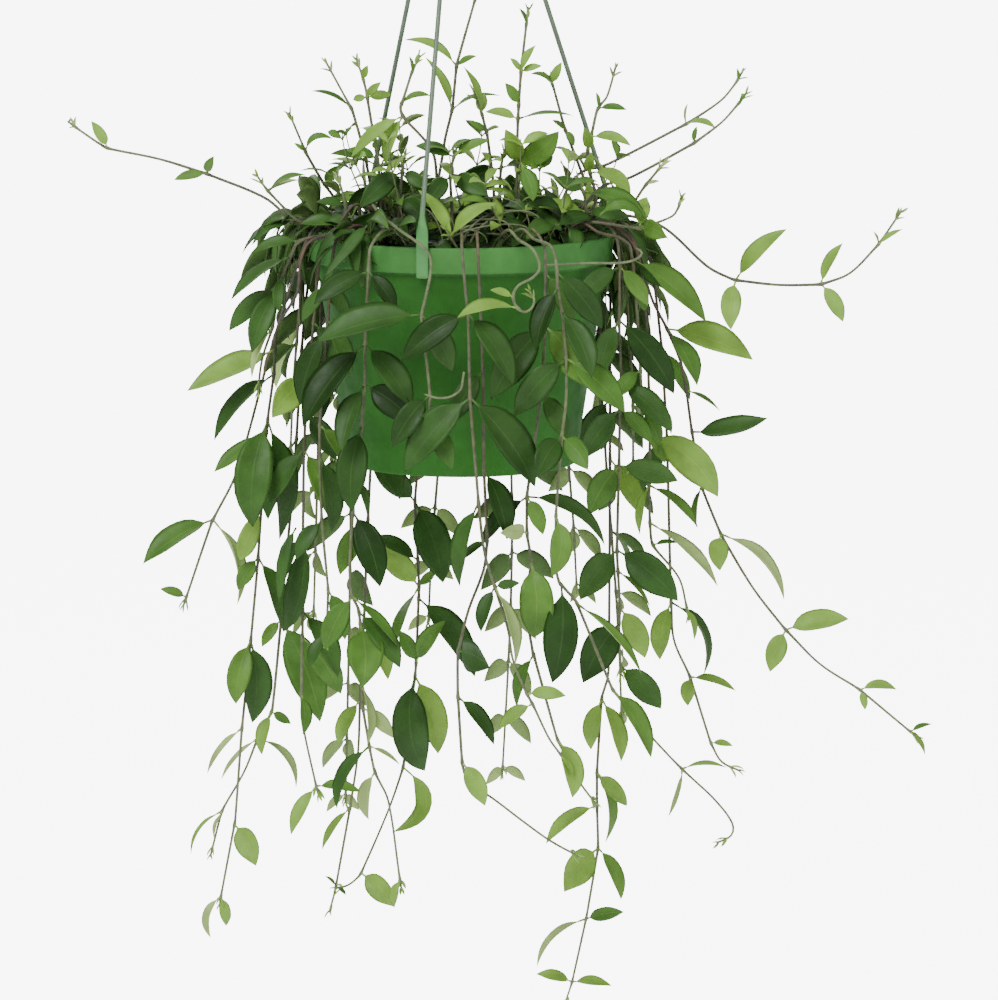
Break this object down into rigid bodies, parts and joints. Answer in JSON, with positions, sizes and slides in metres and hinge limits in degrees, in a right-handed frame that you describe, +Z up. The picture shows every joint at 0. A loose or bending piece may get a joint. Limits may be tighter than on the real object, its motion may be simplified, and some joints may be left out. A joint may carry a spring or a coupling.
{
  "type": "potted codonanthe",
  "caption": "Leafy trailing houseplant in a tapered hanging pot with a turned-down rim, held by a plastic hanger whose thin strands clip under the rim and meet in an open hook.",
  "frame": {"origin": "the point under the top of the hook's inside, where the hanger bears on what it hangs from", "axes": "+Z up, along the line that the pot hangs on; the plant's front, as pictured, faces -Y; +X to the right of that front"},
  "size_m": [0.4319, 0.2242, 0.6885],
  "materials": {
    "pot_green": "satin moulded",
    "potting_soil": "rough, moist",
    "hanger_green": "smooth",
    "leaf_dark": "waxy",
    "leaf_green": "waxy",
    "leaf_bright": "satin"
  },
  "bodies": {
    "root": {"pot": "pot_green", "soil": "potting_soil", "hanger": "hanger_green", "trail_01": "leaf_green", "trail_02": "leaf_dark", "trail_03": "leaf_green", "trail_04": "leaf_dark", "trail_05": "leaf_dark", "trail_06": "leaf_dark", "trail_07": "leaf_green", "trail_08": "leaf_green", "trail_09": "leaf_dark", "trail_10": "leaf_dark", "trail_11": "leaf_dark", "trail_12": "leaf_green", "trail_13": "leaf_green", "trail_14": "leaf_dark", "trail_15": "leaf_green", "trail_16": "leaf_green", "trail_17": "leaf_green", "trail_18": "leaf_bright", "trail_19": "leaf_green", "trail_20": "leaf_bright", "trail_21": "leaf_green", "runner_01": "leaf_green", "runner_02": "leaf_dark", "runner_03": "leaf_bright", "runner_04": "leaf_bright", "runner_05": "leaf_green", "runner_06": "leaf_bright", "runner_07": "leaf_green", "shoot_01": "leaf_green", "shoot_02": "leaf_green", "shoot_03": "leaf_bright", "shoot_04": "leaf_bright", "shoot_05": "leaf_bright", "shoot_06": "leaf_bright", "shoot_07": "leaf_bright", "shoot_08": "leaf_bright", "shoot_09": "leaf_bright", "shoot_10": "leaf_bright", "tuft_01": "leaf_dark", "tuft_02": "leaf_dark", "tuft_03": "leaf_dark", "tuft_04": "leaf_dark", "tuft_05": "leaf_dark", "tuft_06": "leaf_dark", "far_trail_01": "leaf_dark", "far_trail_02": "leaf_dark", "far_trail_03": "leaf_dark", "far_trail_04": "leaf_dark", "far_trail_05": "leaf_dark", "far_trail_06": "leaf_dark", "far_trail_07": "leaf_dark", "far_trail_08": "leaf_dark", "far_trail_09": "leaf_dark", "far_trail_10": "leaf_dark", "far_trail_11": "leaf_dark", "far_trail_12": "leaf_dark", "far_trail_13": "leaf_dark"}
  },
  "joints": []
}
